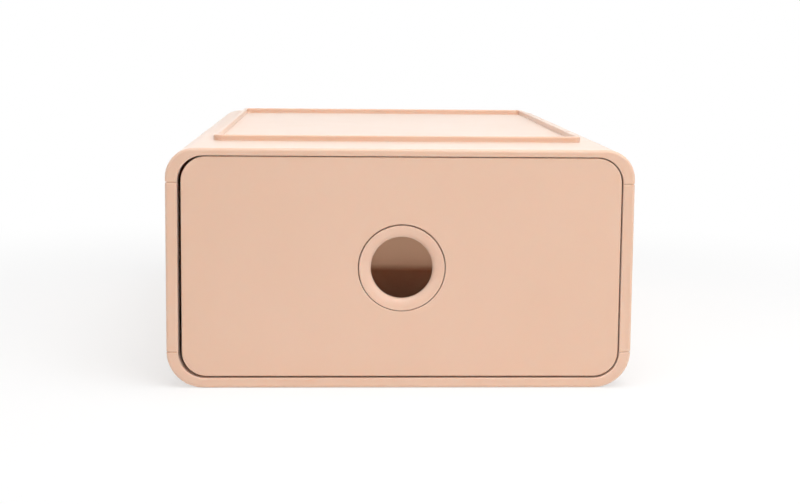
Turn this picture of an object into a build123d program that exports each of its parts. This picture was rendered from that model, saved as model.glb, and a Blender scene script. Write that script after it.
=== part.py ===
"""Stackable desk drawer box: a five-piece moulded casing around one sliding drawer.

Millimetres. X runs to the right as seen from the front, Y runs back into the casing, Z is up.
The origin is on the surface that the box stands on, under the middle of the casing.
"""
from build123d import *
import os

# ---------------------------------------------------------------- casing, outside
case_width = 240.0
case_depth = 340.0
case_height = 124.0
top_corner_radius = 15.0
bottom_corner_radius = 19.0
front_edge_round = 1.6
rear_edge_round = 1.2
side_wall = 2.4
roof_thickness = 2.2
floor_thickness = 2.0

# Heights at which the side panels meet the two shells.
bottom_seam_height = 18.9
top_seam_drop = 17.6
seam_groove = 0.5
seam_end = 1.0
tongue_thickness = 0.9
tongue_height = 2.5
tongue_skin = 0.9
tongue_end_inset = 8.0
tongue_clearance = 0.1

# ---------------------------------------------------------------- front frame round the drawer
stile_width = 6.0
top_rail = 3.8
opening_corner_radius = 13.5
opening_edge_round = 0.4
frame_depth = 10.0
frame_skin = 2.4
frame_lip = 1.6

# ---------------------------------------------------------------- stacking rim and the groove below
rim_height = 3.2
rim_wall = 2.4
rim_front_inset = 49.0
rim_side_inset = 20.2
rim_back_inset = 28.0
rim_corner_radius = 5.0
rim_edge_round = 0.8
stack_clearance = 0.5
stack_headroom = 0.4
bead_wall = 1.6

# ---------------------------------------------------------------- back panel in its slot
back_thickness = 2.2
back_clearance = 0.1
back_window_margin = 20.0
back_window_sill = 9.0
back_window_radius = 9.0
rear_lip_depth = 2.2
rear_rib_depth = 1.4
rear_lip_height = 3.0

# ---------------------------------------------------------------- guide rails on the side panels
guide_rail_height = 3.3
guide_rail_thickness = 2.0
guide_rail_margin = 6.0
guide_rail_front_gap = 4.0
guide_rail_back_gap = 8.0

# ---------------------------------------------------------------- drawer front
front_side_gap = 1.3
front_top_gap = 0.5
front_bottom_gap = 0.9
front_recess = 0.5
front_corner_radius = 12.8
front_depth = 12.0
front_skin = 2.4
front_wall = 2.0
front_edge_soften = 0.8
front_rib_thickness = 1.4
front_rib_pitch = 34.0
front_rib_pairs = 2
drawer_rest_offset = 0.6

# ---------------------------------------------------------------- drawer bin
slide_clearance = 0.3
bin_inset = 0.3
bin_wall = 2.0
bin_floor = 2.0
bin_corner_radius = 13.0
bin_inner_round = 4.0
bin_edge_soften = 0.6
bin_side_drop = 9.4
bin_back_gap = 4.2
back_wall_drop = 0.4
back_wall_shoulder = 14.0
back_wall_round = 8.0
lug_width = 24.0
lug_length = 6.0
lug_spacing = 120.0
lug_floor_gap = 0.6

# ---------------------------------------------------------------- finger-pull ring
ring_height = 62.8
ring_radius = 22.0
ring_seam = 0.6
ring_settle = 0.2
finger_hole_radius = 15.9
ring_nose_depth = 3.3
ring_flange = 3.4
ring_seat = 1.6
ring_seat_wall = 3.0
barrel_wall = 2.6
barrel_rear_wall = 1.3
barrel_clearance = 0.4
barrel_tail = 2.6
bin_hole_margin = 5.0
barb_height = 1.2
barb_angle = 30.0
barb_count = 4

# ---------------------------------------------------------------- staked pegs, drawer front to bin
peg_radius = 2.5
peg_clearance = 0.1
peg_head_radius = 4.0
peg_head_height = 1.4
peg_side_inset = 17.0
peg_edge_inset = 18.0

# ---------------------------------------------------------------- places worked out from the sizes
half_width = case_width / 2
front_y = -case_depth / 2
rear_y = case_depth / 2
top_seam_height = case_height - top_seam_drop
frame_back_y = front_y + frame_depth

groove_depth = rim_height + stack_headroom
bottom_rail = groove_depth + bead_wall
opening_half_width = half_width - stile_width
opening_top = case_height - top_rail

rim_half_width = half_width - rim_side_inset
rim_front_y = front_y + rim_front_inset
rim_back_y = rear_y - rim_back_inset
bead_reach = stack_clearance + bead_wall

lip_front_y = rear_y - rear_lip_depth
slot_front_y = lip_front_y - back_thickness - back_clearance
rib_front_y = slot_front_y - rear_rib_depth

face_y = front_y + front_recess
front_back_y = face_y + front_depth
front_half_width = opening_half_width - front_side_gap
front_bottom = bottom_rail + front_bottom_gap
front_top = opening_top - front_top_gap

bin_half_width = front_half_width - bin_inset
bin_bottom = bottom_rail + slide_clearance
bin_front_y = front_back_y
bin_front_inner_y = bin_front_y + bin_wall
bin_back_y = rib_front_y - bin_back_gap
bin_side_top = front_top - bin_side_drop

bead_front_face = rim_front_y + rim_wall + bead_reach
bead_back_face = rim_back_y - rim_wall - bead_reach
lug_back_y = bead_back_face - slide_clearance
lug_front_y = lug_back_y - lug_length
drawer_travel = lug_front_y - bead_front_face - slide_clearance

barrel_radius = finger_hole_radius + barrel_wall
barrel_hole_radius = barrel_radius + barrel_clearance
ring_seat_y = face_y + ring_flange
seat_back_y = ring_seat_y + ring_seat
barrel_back_y = seat_back_y + barrel_tail
bin_hole_radius = finger_hole_radius + bin_hole_margin


# ---------------------------------------------------------------- helpers
def outline(half, low, high, low_radius, high_radius):
    """An upright section with one radius at its two lower corners and another at the upper two."""
    section = Pos(0, (low + high) / 2) * Rectangle(2 * half, high - low)
    if low_radius > 0:
        section = fillet(section.vertices().group_by(Axis.Y)[0], low_radius)
    if high_radius > 0:
        section = fillet(section.vertices().group_by(Axis.Y)[-1], high_radius)
    return section


def carried(section, near_y, far_y):
    """The section on the XZ plane, carried back from near_y to far_y."""
    return Pos(0, far_y, 0) * extrude(Plane.XZ * section, far_y - near_y)


def block(x_range, y_range, z_range):
    """A plain block between two corners."""
    size = [high - low for low, high in (x_range, y_range, z_range)]
    middle = [(low + high) / 2 for low, high in (x_range, y_range, z_range)]
    return Pos(*middle) * Box(*size)


def plan_block(grow, low_z, high_z):
    """The stacking rim's outline in plan, grown sideways by grow, between two heights."""
    width = 2 * (rim_half_width + grow)
    length = rim_back_y - rim_front_y + 2 * grow
    radius = max(rim_corner_radius + grow, 0.5)
    centre = Pos(0, (rim_front_y + rim_back_y) / 2, low_z)
    return centre * extrude(RectangleRounded(width, length, radius), high_z - low_z)


def y_disc(radius, near_y, far_y, x=0.0, z=0.0):
    """A round bar along Y."""
    return Pos(x, (near_y + far_y) / 2, z) * Rot(90, 0, 0) * Cylinder(radius, far_y - near_y)


def case_section(inset):
    """The casing's outer section, drawn in by one wall thickness on every side."""
    return outline(
        half_width - inset,
        inset,
        case_height - inset,
        bottom_corner_radius - inset,
        top_corner_radius - inset,
    )


def cavity_section(shrink=0.0):
    """The space inside the walls, or that space drawn in by shrink."""
    return outline(
        half_width - side_wall - shrink,
        floor_thickness + shrink,
        case_height - roof_thickness - shrink,
        bottom_corner_radius - side_wall - shrink,
        top_corner_radius - side_wall - shrink,
    )


def opening_section(grow=0.0):
    """The drawer's opening in the front frame, or that opening let out by grow."""
    return outline(
        opening_half_width + grow,
        bottom_rail - grow,
        min(opening_top + grow, case_height - roof_thickness),
        opening_corner_radius + grow,
        opening_corner_radius + grow,
    )


def front_section(shrink=0.0):
    """The drawer front's outline, or that outline drawn in by shrink."""
    return outline(
        front_half_width - shrink,
        front_bottom + shrink,
        front_top - shrink,
        front_corner_radius - shrink,
        front_corner_radius - shrink,
    )


# ---------------------------------------------------------------- casing
def make_sleeve():
    """The whole casing before it is parted at the seams: walls, front frame and back-panel slot."""
    sleeve = carried(case_section(0), front_y, rear_y)
    end_edges = sleeve.edges().group_by(Axis.Y)
    sleeve = fillet(end_edges[0], front_edge_round)
    sleeve = fillet(sleeve.edges().group_by(Axis.Y)[-1], rear_edge_round)
    sleeve -= carried(opening_section(), front_y, frame_back_y)
    front_face = sleeve.faces().sort_by(Axis.Y)[0]
    sleeve = fillet(front_face.inner_wires()[0].edges(), opening_edge_round)
    sleeve -= carried(cavity_section(), frame_back_y, rib_front_y)
    sleeve -= carried(cavity_section(rear_lip_height), rib_front_y, rear_y)
    sleeve -= carried(cavity_section(), slot_front_y, lip_front_y)
    frame_core = carried(cavity_section(), front_y + frame_skin, frame_back_y)
    frame_core -= carried(opening_section(frame_lip), front_y, rear_y)
    return sleeve - frame_core


def seam_bar(side, height):
    """A square bar on edge that follows one seam: back along the side and round onto the front."""
    x_out = side * half_width
    x_turn = side * (half_width - front_edge_round)
    x_in = side * (opening_half_width - seam_end)
    y_turn = front_y + front_edge_round
    mid = front_edge_round * (1 - 0.5**0.5)
    back = Line((x_out, rear_y + seam_end, height), (x_out, y_turn, height))
    bend = ThreePointArc(
        (x_out, y_turn, height),
        (x_out - side * mid, front_y + mid, height),
        (x_turn, front_y, height),
    )
    front = Line((x_turn, front_y, height), (x_in, front_y, height))
    path = Wire([back.edge(), bend.edge(), front.edge()])
    start = Plane(origin=(x_out, rear_y + seam_end, height), z_dir=(0, -1, 0))
    section = start * Rot(0, 0, 45) * Rectangle(seam_groove * 2**0.5, seam_groove * 2**0.5)
    return sweep(section, path)


def tongue(side, height, direction, slack):
    """The tongue that stands out of a side panel's edge, or with slack the groove that takes it."""
    outer = half_width - tongue_skin + slack
    inner = half_width - tongue_skin - tongue_thickness - slack
    x_range = sorted((side * inner, side * outer))
    y_range = (
        frame_back_y + tongue_end_inset - slack,
        rib_front_y - tongue_end_inset + slack,
    )
    z_range = sorted((height, height + direction * (tongue_height + slack)))
    return block(x_range, y_range, z_range)


def make_top_shell(sleeve):
    """The roof with its two rounded shoulders, the top rail and the raised stacking rim."""
    zone = block((-case_width, case_width), (-case_depth, case_depth), (top_seam_height, 2 * case_height))
    shell = sleeve & zone
    rim = plan_block(0, case_height - roof_thickness / 2, case_height + rim_height)
    rim = fillet(rim.faces().sort_by(Axis.Z)[-1].edges(), rim_edge_round)
    hollow = plan_block(-rim_wall, case_height, case_height + 2 * rim_height)
    shell = shell + rim - hollow
    rim_lip = [e for e in shell.edges().group_by(Axis.Z)[-1] if e.length > rim_corner_radius / 2]
    inner_lip = [e for e in rim_lip if abs(e.center().X) < rim_half_width - 0.75 * rim_wall]
    inner_lip = [e for e in inner_lip if rim_front_y + 0.75 * rim_wall < e.center().Y]
    inner_lip = [e for e in inner_lip if e.center().Y < rim_back_y - 0.75 * rim_wall]
    shell = fillet(inner_lip, rim_edge_round)
    for side in (-1, 1):
        shell -= tongue(side, top_seam_height, 1, tongue_clearance)
    return shell


def make_bottom_shell(sleeve):
    """The floor with its two rounded edges, the bottom rail and the hollow bead over the groove."""
    zone = block((-case_width, case_width), (-case_depth, case_depth), (-case_height, bottom_seam_height))
    shell = sleeve & zone
    bead = plan_block(bead_reach, floor_thickness / 2, bottom_rail)
    bead -= plan_block(-rim_wall - bead_reach, -case_height, case_height)
    groove = plan_block(stack_clearance, -bead_wall, groove_depth)
    groove -= plan_block(-rim_wall - stack_clearance, -case_height, case_height)
    shell = shell + bead - groove
    for side in (-1, 1):
        shell -= tongue(side, bottom_seam_height, -1, tongue_clearance)
    return shell


def make_side_panel(sleeve, side):
    """A flat wall with its share of the front frame, a tongue on each edge and two guide rails."""
    x_range = sorted((0, side * case_width))
    zone = block(x_range, (-case_depth, case_depth), (bottom_seam_height, top_seam_height))
    panel = sleeve & zone
    for height, direction in ((bottom_seam_height, -1), (top_seam_height, 1)):
        panel += tongue(side, height, direction, 0)
    inner_wall = half_width - side_wall
    rail_x = sorted((side * (inner_wall - guide_rail_height), side * inner_wall))
    rail_y = (frame_back_y + guide_rail_front_gap, rib_front_y - guide_rail_back_gap)
    low_rail = bottom_seam_height + guide_rail_margin
    high_rail = top_seam_height - guide_rail_margin - guide_rail_thickness
    for height in (low_rail, high_rail):
        panel += block(rail_x, rail_y, (height, height + guide_rail_thickness))
    return panel


def make_back_panel():
    """The plate that slides into the slot at the rear, with a window that lets light onto the bin."""
    plate = carried(cavity_section(back_clearance), lip_front_y - back_thickness, lip_front_y)
    window = outline(
        half_width - side_wall - back_window_margin,
        floor_thickness + back_window_sill,
        case_height - roof_thickness - back_window_margin,
        back_window_radius,
        back_window_radius,
    )
    return plate - carried(window, slot_front_y, rear_y)


# ---------------------------------------------------------------- drawer
def peg_places():
    """The four pegs, as X and Z, that hold the drawer front to the bin."""
    x = front_half_width - peg_side_inset
    low, high = front_bottom + peg_edge_inset, front_top - peg_edge_inset
    return [(sign * x, z) for sign in (-1, 1) for z in (low, high)]


def make_drawer_front():
    """A shallow moulded cover: its skin, its turned-back wall, ribs, the ring's seat and four pegs."""
    cover = carried(front_section(), face_y, front_back_y)
    cover = fillet(cover.edges().group_by(Axis.Y)[0], front_edge_soften)
    inner = carried(front_section(front_wall), face_y + front_skin, front_back_y)
    cover -= inner
    rib_height = (front_bottom, front_top)
    for pair in range(1, front_rib_pairs + 1):
        for sign in (-1, 1):
            x = sign * (pair * front_rib_pitch + front_rib_thickness / 2)
            x_range = (x - front_rib_thickness / 2, x + front_rib_thickness / 2)
            cover += block(x_range, (face_y + front_skin, front_back_y), rib_height) & inner
    hole_radius = ring_radius + ring_seam
    cover += y_disc(hole_radius + ring_seat_wall, face_y + front_skin / 2, seat_back_y, 0, ring_height)
    cover -= y_disc(hole_radius, face_y - front_skin, ring_seat_y, 0, ring_height)
    cover -= y_disc(barrel_hole_radius, face_y - front_skin, front_back_y, 0, ring_height)
    for x, z in peg_places():
        cover += y_disc(peg_radius, face_y + front_skin / 2, bin_front_inner_y, x, z)
        head_back_y = bin_front_inner_y + peg_head_height
        head = y_disc(peg_head_radius, bin_front_inner_y, head_back_y, x, z)
        cover += fillet(head.edges().group_by(Axis.Y)[-1], peg_head_height / 2)
    return Pos(drawer_rest_offset, 0, 0) * cover


def make_drawer_bin():
    """The open tray behind the front, with a raised back wall and two stop lugs under its floor."""
    trough = outline(bin_half_width, bin_bottom, bin_side_top, bin_corner_radius, 0)
    tray = carried(trough, bin_front_y, bin_back_y)
    tray = fillet(tray.edges().filter_by(Axis.Y).group_by(Axis.Z)[-1], bin_edge_soften)
    front_plate = outline(
        bin_half_width,
        bin_bottom,
        front_top - bin_inset,
        bin_corner_radius,
        front_corner_radius - bin_inset,
    )
    tray += carried(front_plate, bin_front_y, bin_front_inner_y)
    back_wall = outline(
        bin_half_width - back_wall_shoulder,
        bin_bottom + bin_corner_radius,
        opening_top - back_wall_drop,
        0,
        back_wall_round,
    )
    tray += carried(back_wall, bin_back_y - bin_wall, bin_back_y)
    space_section = outline(
        bin_half_width - bin_wall,
        bin_bottom + bin_floor,
        case_height * 2,
        bin_corner_radius - bin_wall,
        0,
    )
    space = carried(space_section, bin_front_inner_y, bin_back_y - bin_wall)
    ends = space.edges().group_by(Axis.Y)
    end_edges = [e for e in ends[0] + ends[-1] if e.center().Z < case_height * 1.5]
    space = fillet(end_edges, bin_inner_round)
    tray -= space
    lug_z = (floor_thickness + lug_floor_gap, bin_bottom + bin_floor / 2)
    for sign in (-1, 1):
        middle = sign * lug_spacing / 2
        lug_x = (middle - lug_width / 2, middle + lug_width / 2)
        tray += block(lug_x, (lug_front_y, lug_back_y), lug_z)
    tray -= y_disc(bin_hole_radius, bin_front_y - bin_wall, bin_front_inner_y + bin_wall, 0, ring_height)
    for x, z in peg_places():
        peg_hole = peg_radius + peg_clearance
        tray -= y_disc(peg_hole, bin_front_y - bin_wall, bin_front_inner_y + bin_wall, x, z)
    return Pos(drawer_rest_offset, 0, 0) * tray


def make_pull_ring():
    """A flange with a rounded nose and a short snap-in barrel, which rests low in its seat."""
    nose_centre_y = face_y + ring_nose_depth
    nose_width = ring_radius - finger_hole_radius
    nose = EllipticalCenterArc(
        (ring_radius, nose_centre_y),
        nose_width,
        ring_nose_depth,
        start_angle=180,
        arc_size=90,
    )
    side = Polyline(
        (ring_radius, face_y),
        (ring_radius, ring_seat_y),
        (barrel_radius, ring_seat_y),
        (barrel_radius, barrel_back_y),
        (barrel_radius - barrel_rear_wall, barrel_back_y),
        (finger_hole_radius, nose_centre_y),
    )
    ring = revolve(make_face(nose + side), Axis.Y)
    barb_front_y = seat_back_y + barrel_clearance
    barb = make_face(
        Polyline(
            (barrel_radius - barrel_rear_wall / 2, barb_front_y),
            (barrel_radius + barb_height, barb_front_y),
            (barrel_radius, barrel_back_y),
            (barrel_radius - barrel_rear_wall / 2, barrel_back_y),
            (barrel_radius - barrel_rear_wall / 2, barb_front_y),
        )
    )
    barb = Rot(0, -barb_angle / 2, 0) * revolve(barb, Axis.Y, barb_angle)
    for turn in range(barb_count):
        ring += Rot(0, turn * 360 / barb_count, 0) * barb
    return Pos(drawer_rest_offset, 0, ring_height - ring_settle) * ring


# ---------------------------------------------------------------- build and write
def main():
    sleeve = make_sleeve()
    for side in (-1, 1):
        for height in (bottom_seam_height, top_seam_height):
            sleeve -= seam_bar(side, height)
    pieces = {
        "top_shell": make_top_shell(sleeve),
        "bottom_shell": make_bottom_shell(sleeve),
        "left_side_panel": make_side_panel(sleeve, -1),
        "right_side_panel": make_side_panel(sleeve, 1),
        "back_panel": make_back_panel(),
        "drawer_bin": make_drawer_bin(),
        "drawer_front": make_drawer_front(),
        "pull_ring": make_pull_ring(),
    }
    os.makedirs("parts", exist_ok=True)
    for name, piece in pieces.items():
        export_step(piece, f"parts/{name}.step")
        print(f"{name}: {len(piece.solids())} solid, {piece.volume / 1000:.1f} cm3")
    print(f"drawer travel {drawer_travel:.1f} mm")


main()
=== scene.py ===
# %% [markdown]
# # A stackable drawer box
# The box is a desk drawer in pale peach plastic: a casing of five mouldings, and one drawer whose
# front carries a ring round a finger hole. Its solids come packed, in metres, with the drawer shut.
# They have every form that the picture shows, so this notebook adds none: it gives them their
# finish, lights them and sets the camera. It reads them first, and keeps the box that they fill.

# %% Load the solids
from math import cos, pi, radians, sin

import bpy
import numpy as np
from mathutils import Matrix, Vector

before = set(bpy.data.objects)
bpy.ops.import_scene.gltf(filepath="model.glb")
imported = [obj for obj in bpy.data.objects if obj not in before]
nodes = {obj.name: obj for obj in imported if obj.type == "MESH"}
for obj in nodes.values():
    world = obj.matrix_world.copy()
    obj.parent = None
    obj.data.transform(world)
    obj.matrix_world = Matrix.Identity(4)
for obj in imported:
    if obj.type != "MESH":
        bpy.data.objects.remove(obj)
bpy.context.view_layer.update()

print("nodes:", ", ".join(sorted(nodes)))

# %% [markdown]
# ## Camera
# The picture is taken from a little above and to the left, with the front almost square to the
# lens. A camera aimed by eye would leave every edge some pixels out, so the place and the turns below
# were worked out from the corners of the front, the rim and the ring. The lens is shifted down a
# little, so that the upright edges stay nearly upright in the picture.

# %% Camera
picture_width = 800
focal_pixels = 1463.3
sensor_width = 36.0
camera_place = Vector((-0.0318, -0.9103, 0.1848))
camera_yaw = radians(-2.404)
camera_pitch = radians(6.529)
camera_roll = radians(0.531)
lens_shift = -0.07


def camera_axes(yaw, pitch, roll):
    """Right, up and forward of a camera that turns left by yaw, looks down by pitch and then rolls."""
    ahead = Vector((-sin(yaw), cos(yaw), 0))
    forward = ahead * cos(pitch) - Vector((0, 0, sin(pitch)))
    level_up = ahead * sin(pitch) + Vector((0, 0, cos(pitch)))
    level_right = Vector((cos(yaw), sin(yaw), 0))
    right = level_right * cos(roll) + level_up * sin(roll)
    up = level_up * cos(roll) - level_right * sin(roll)
    return right, up, forward


right, up, forward = camera_axes(camera_yaw, camera_pitch, camera_roll)
camera_data = bpy.data.cameras.new("camera")
camera_data.sensor_width = sensor_width
camera_data.lens = focal_pixels / picture_width * sensor_width
camera_data.shift_y = lens_shift
camera = bpy.data.objects.new("camera", camera_data)
turn = Matrix((right, up, -forward)).transposed()
camera.matrix_world = Matrix.Translation(camera_place) @ turn.to_4x4()
bpy.context.scene.collection.objects.link(camera)
bpy.context.scene.camera = camera
bpy.context.scene.view_settings.view_transform = "Standard"
print("lens in mm:", round(camera_data.lens, 2))

# %% [markdown]
# ## Shader maths
# A finish is a small graph of nodes. Written out node by node it is hard to read, so one class
# wraps a socket: adding or multiplying two of them adds the Math node that does it. Its method node
# makes any other node from its type, its settings and its sockets, and rise is a smooth step.

# %% A socket that can be reckoned with
class Wire:
    """One output socket in a node tree. Arithmetic on wires and numbers adds Math nodes."""

    def __init__(self, tree, socket=None):
        self.tree = tree
        self.socket = socket

    def node(self, kind, settings=None, sockets=None, out=0):
        """Adds a node of this kind: its settings first, then a value or a wire for each socket."""
        made = self.tree.nodes.new(kind)
        for name, value in (settings or {}).items():
            setattr(made, name, value)
        for name, value in (sockets or {}).items():
            if isinstance(value, Wire):
                self.tree.links.new(value.socket, made.inputs[name])
            else:
                made.inputs[name].default_value = value
        return Wire(self.tree, made.outputs[out] if len(made.outputs) else None)

    def maths(self, operation, *values):
        """A Math node on two values, each a wire or a number."""
        return self.node("ShaderNodeMath", {"operation": operation}, dict(enumerate(values)))

    def __add__(self, other):
        return self.maths("ADD", self, other)

    def __sub__(self, other):
        return self.maths("SUBTRACT", self, other)

    def __rsub__(self, other):
        return self.maths("SUBTRACT", other, self)

    def __mul__(self, other):
        return self.maths("MULTIPLY", self, other)

    __radd__ = __add__
    __rmul__ = __mul__

    def rise(self, low, high):
        """0 below low, 1 above high, and a smooth step between them."""
        spread = {"Value": self, "From Min": low, "From Max": high}
        return self.node("ShaderNodeMapRange", {"interpolation_type": "SMOOTHSTEP"}, spread)


def blank_material(name):
    """A new material with an empty tree, and a wire to start its graph from."""
    material = bpy.data.materials.new(name)
    material.use_nodes = True
    material.node_tree.nodes.clear()
    return material, Wire(material.node_tree)


def seeing_rays(tree):
    """At least 1 for a ray from the camera, off gloss or through a wall, and 0 for any other."""
    camera_ray = tree.node("ShaderNodeLightPath", out="Is Camera Ray")
    mirrored = tree.node("ShaderNodeLightPath", out="Is Glossy Ray")
    through = tree.node("ShaderNodeLightPath", out="Is Transmission Ray")
    return camera_ray + mirrored + through


def mixed(factor, first, second):
    """Two colours mixed by a factor."""
    settings = {"data_type": "RGBA"}
    return factor.node("ShaderNodeMix", settings, {0: factor, 6: first, 7: second}, out=2)


print("operators on a wire: plus, minus and times, with a number on either side")

# %% [markdown]
# ## Moulded plastic
# Such a box is coloured polypropylene from a spark-eroded mould. The finish is nearly plain, and
# what makes it plastic is small: a fine leathery grain, a slow waviness where the walls shrank,
# colour that drifts by a percent or two, light that goes a little way in before it comes out, and
# edges that have been rubbed paler. The thin skin of such a surface also veils it with white at a low
# angle, which a touch of sheen gives. Pictures of plastic could do it too, but they would repeat, and
# each piece would have to be unwrapped for them. Noise in a piece's own space avoids both. So one
# function makes it all from noise, and each family of pieces gets its own colour, grain and wear.

# %% Noise, bump and rubbed edges
edge_radius = 0.0006
bend_where_rubbed = (0.004, 0.09)
cloud_where_rubbed = (0.38, 0.62)


def noise(place, size, detail, rough=0.5):
    """Noise whose lumps are about size metres across."""
    sockets = {"Vector": place, "Scale": 1 / size, "Detail": detail, "Roughness": rough}
    return place.node("ShaderNodeTexNoise", None, sockets)


def bumped(normal, height, depth):
    """A normal tilted by the slope of depth times height."""
    sockets = {"Height": height, "Distance": depth, "Strength": 1.0, "Normal": normal}
    return normal.node("ShaderNodeBump", None, sockets)


def rubbed_edges(rounded, cloud):
    """1 where a rounded normal bends away from the true one and the cloud is dense, and 0 elsewhere."""
    true_normal = rounded.node("ShaderNodeNewGeometry", out="Normal")
    both = {0: rounded, 1: true_normal}
    facing = rounded.node("ShaderNodeVectorMath", {"operation": "DOT_PRODUCT"}, both, out="Value")
    return (1 - facing).rise(*bend_where_rubbed) * cloud.rise(*cloud_where_rubbed)


print("edges rub within", 1000 * edge_radius, "mm of a corner")

# %% Sizes of the finish, in metres, and its constants
flow_size = 0.09
wave_size = 0.035
cloud_size = 0.018
grain_size = 0.00055
wave_depth = 0.00006
skin_reach = 0.00035
skin_reach_by_colour = (1.0, 0.8, 0.7)
flow_range = (0.3, 0.7)
flow_share = 0.6
pale_start = 0.35
pale_share = 0.72
cloud_gloss = 0.10
flow_gloss = 0.06
rubbed_gloss = 0.05
plastic_ior = 1.49
sheen_weight = 0.45
sheen_roughness = 0.4
sheen_tint = (1.0, 0.95, 0.9, 1.0)
glow_colour = (0.96, 0.76, 0.62, 1.0)
print("lumps from", 1000 * grain_size, "mm of grain to", 1000 * flow_size, "mm of colour drift")


# %% The finish, as one function
def moulded_plastic(name, colour, drift_colour, roughness, grain_depth, wear, seed, lets_through=0.0):
    """Base colour drifts with slow noise, roughness with middling noise, and two noises make bump."""
    material, tree = blank_material(name)
    place = tree.node("ShaderNodeTexCoord", out="Object")
    shift = {"Vector": place, "Location": (seed, 2 * seed, 3 * seed)}
    place = tree.node("ShaderNodeMapping", None, shift)
    flow = noise(place, flow_size, detail=2.0)
    cloud = noise(place, cloud_size, detail=4.0, rough=0.6)
    rounded = tree.node("ShaderNodeBevel", {"samples": 4}, {"Radius": edge_radius})
    edge = rubbed_edges(rounded, cloud)

    drift = flow.rise(*flow_range) * flow_share + cloud * (1 - flow_share)
    pale = [min(1.0, pale_start + pale_share * channel) for channel in colour[:3]] + [1.0]
    base = mixed(edge * wear, mixed(drift, colour, drift_colour), pale)
    gloss = roughness + (cloud - 0.5) * cloud_gloss + (flow - 0.5) * flow_gloss - edge * rubbed_gloss
    wavy = bumped(rounded, noise(place, wave_size, detail=1.0), wave_depth)
    grained = bumped(wavy, noise(place, grain_size, detail=2.0, rough=0.6), grain_depth)
    surface = tree.node(
        "ShaderNodeBsdfPrincipled",
        {"subsurface_method": "RANDOM_WALK"},
        {
            "Base Color": base,
            "Roughness": gloss,
            "Normal": grained,
            "IOR": plastic_ior,
            "Subsurface Weight": 1.0,
            "Subsurface Radius": skin_reach_by_colour,
            "Subsurface Scale": skin_reach,
            "Sheen Weight": sheen_weight,
            "Sheen Roughness": sheen_roughness,
            "Sheen Tint": sheen_tint,
        },
    )
    if lets_through > 0:
        behind = tree.node("ShaderNodeBsdfTranslucent", None, {"Color": glow_colour})
        shares = {0: lets_through, 1: surface, 2: behind}
        surface = tree.node("ShaderNodeMixShader", None, shares)
    tree.node("ShaderNodeOutputMaterial", None, {"Surface": surface})
    return material


print("one function for the finish of all eight pieces")

# %% [markdown]
# ## The four finishes
# All the pieces are the same peach. The casing and the drawer come from different mouldings, so
# their colours drift apart by a hair. The ring has a shallower grain, as a part that fingers touch
# often has. The bin is one thin wall of unfilled plastic, so about half of its light goes through: a
# share of Translucent does that, where more scattering under the skin would only soften its edges.

# %% Finish the pieces
casing_plastic = moulded_plastic(
    "casing_plastic",
    colour=(0.79, 0.56, 0.43, 1.0),
    drift_colour=(0.775, 0.537, 0.403, 1.0),
    roughness=0.36,
    grain_depth=0.000012,
    wear=0.35,
    seed=0.31,
)
drawer_plastic = moulded_plastic(
    "drawer_plastic",
    colour=(0.79, 0.56, 0.43, 1.0),
    drift_colour=(0.778, 0.542, 0.408, 1.0),
    roughness=0.37,
    grain_depth=0.000012,
    wear=0.3,
    seed=0.77,
)
bin_plastic = moulded_plastic(
    "bin_plastic",
    colour=(0.80, 0.58, 0.455, 1.0),
    drift_colour=(0.79, 0.57, 0.445, 1.0),
    roughness=0.40,
    grain_depth=0.000008,
    wear=0.3,
    seed=0.91,
    lets_through=0.55,
)
ring_plastic = moulded_plastic(
    "ring_plastic",
    colour=(0.80, 0.57, 0.44, 1.0),
    drift_colour=(0.79, 0.555, 0.43, 1.0),
    roughness=0.36,
    grain_depth=0.000006,
    wear=0.2,
    seed=0.53,
)


def finish(material, *names):
    """Gives the material to these solids."""
    for name in names:
        for slot in nodes[name].material_slots:
            slot.material = material
    print(material.name, "on", ", ".join(names))


finish(casing_plastic, "top_shell", "bottom_shell", "left_side_panel", "right_side_panel", "back_panel")
finish(drawer_plastic, "drawer_front")
finish(bin_plastic, "drawer_bin")
finish(ring_plastic, "pull_ring")

# %% [markdown]
# ## Floor
# The box stands on plain white with a soft shadow round it. A sheet that curves up behind the box
# would give that from one side only. So the floor is a disc that takes the shadow near the box and
# turns to plain white further out, and it has no horizon in any view.

# %% Floor
floor_radius = 3.0
floor_colour = (0.9, 0.9, 0.9, 1.0)
white = (1.0, 1.0, 1.0, 1.0)
shadow_start = 0.2
shadow_reach = 0.55
white_near_box = 0.6


def disc(name, radius, rings, spokes):
    """A flat disc: radius times the cosine and sine of the angle, on rings that widen outwards."""
    share = np.linspace(0, 1, rings + 1)[1:] ** 2
    angle = np.linspace(0, 2 * pi, spokes, endpoint=False)
    x = radius * np.outer(share, np.cos(angle)).ravel()
    y = radius * np.outer(share, np.sin(angle)).ravel()
    points = np.column_stack((x, y, np.zeros(x.size)))
    points = np.vstack(((0.0, 0.0, 0.0), points))
    ring, spoke = np.divmod(np.arange((rings - 1) * spokes), spokes)
    here = 1 + ring * spokes + spoke
    beside = 1 + ring * spokes + (spoke + 1) % spokes
    quads = np.column_stack((here, here + spokes, beside + spokes, beside))
    rim = 1 + np.arange(spokes)
    fan = np.column_stack((np.zeros(spokes, int), rim, np.roll(rim, -1)))
    mesh = bpy.data.meshes.new(name)
    mesh.from_pydata(points, [], fan.tolist() + quads.tolist())
    piece = bpy.data.objects.new(name, mesh)
    bpy.context.scene.collection.objects.link(piece)
    print(name, "faces:", len(mesh.polygons))
    return piece


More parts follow.
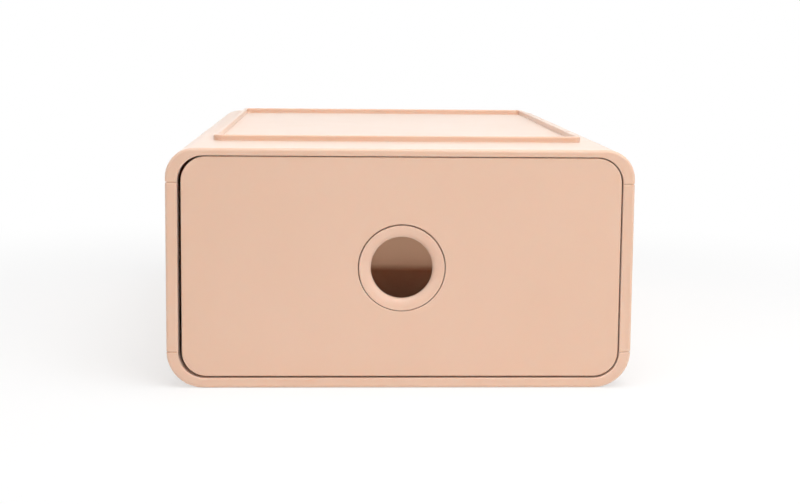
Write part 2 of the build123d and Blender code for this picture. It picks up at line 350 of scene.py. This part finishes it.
floor = disc("floor", floor_radius, rings=12, spokes=64)
floor_paint, tree = blank_material("floor_paint")
spot = tree.node("ShaderNodeTexCoord", out="Object")
distance = tree.node("ShaderNodeVectorMath", {"operation": "LENGTH"}, {0: spot}, out="Value")
matt = tree.node("ShaderNodeBsdfDiffuse", None, {"Color": floor_colour})
glowing = tree.node("ShaderNodeEmission", None, {"Color": white, "Strength": 1.0})
far = distance.rise(shadow_start, shadow_reach)
share_of_white = seeing_rays(tree) * (white_near_box + far * (1 - white_near_box))
blend = tree.node("ShaderNodeMixShader", None, {0: share_of_white, 1: matt, 2: glowing})
tree.node("ShaderNodeOutputMaterial", None, {"Surface": blend})
floor.data.materials.append(floor_paint)

# %% [markdown]
# ## Light
# A white room lights the box a little from all sides. A large soft lamp overhead brightens the roof
# and the upper edges. One behind gives the roof its pale glare at a low angle, and shines through the
# window in the back panel onto the drawer, so that the finger hole isn't black. Two softboxes to the
# left and right of the camera light the front, the right one more, as in the picture.

# %% World and lamps
world_level = 0.36
world = bpy.data.worlds.new("white_room")
bpy.context.scene.world = world
world.use_nodes = True
world.node_tree.nodes.clear()
tree = Wire(world.node_tree)
plain = tree.node("ShaderNodeBackground", None, {"Color": white, "Strength": world_level})
bright = tree.node("ShaderNodeBackground", None, {"Color": white, "Strength": 1.0})
choice = tree.node("ShaderNodeMixShader", None, {0: seeing_rays(tree), 1: plain, 2: bright})
tree.node("ShaderNodeOutputWorld", None, {"Surface": choice})


def soft_lamp(name, place, aim, width, depth, power):
    """An oblong lamp at a place, turned to face a point. No camera sees the lamp itself."""
    lamp = bpy.data.lights.new(name, "AREA")
    lamp.shape = "RECTANGLE"
    lamp.size = width
    lamp.size_y = depth
    lamp.energy = power
    piece = bpy.data.objects.new(name, lamp)
    piece.location = place
    piece.visible_camera = False
    piece.rotation_euler = (Vector(aim) - Vector(place)).to_track_quat("-Z", "Y").to_euler()
    bpy.context.scene.collection.objects.link(piece)
    print(name, "watts:", power)


softbox_aim = (0.0, -0.1, 0.08)
soft_lamp("key_lamp", place=(0.15, -0.35, 1.0), aim=(0.0, -0.25, 0.0), width=0.9, depth=0.9, power=7.5)
soft_lamp("back_lamp", place=(0.0, 0.9, 0.55), aim=(0.0, 0.0, 0.1), width=1.2, depth=0.5, power=1.8)
soft_lamp("right_lamp", place=(0.7, -0.9, 0.6), aim=softbox_aim, width=0.9, depth=0.9, power=4.0)
soft_lamp("left_lamp", place=(-0.7, -0.9, 0.6), aim=softbox_aim, width=0.9, depth=0.9, power=1.9)
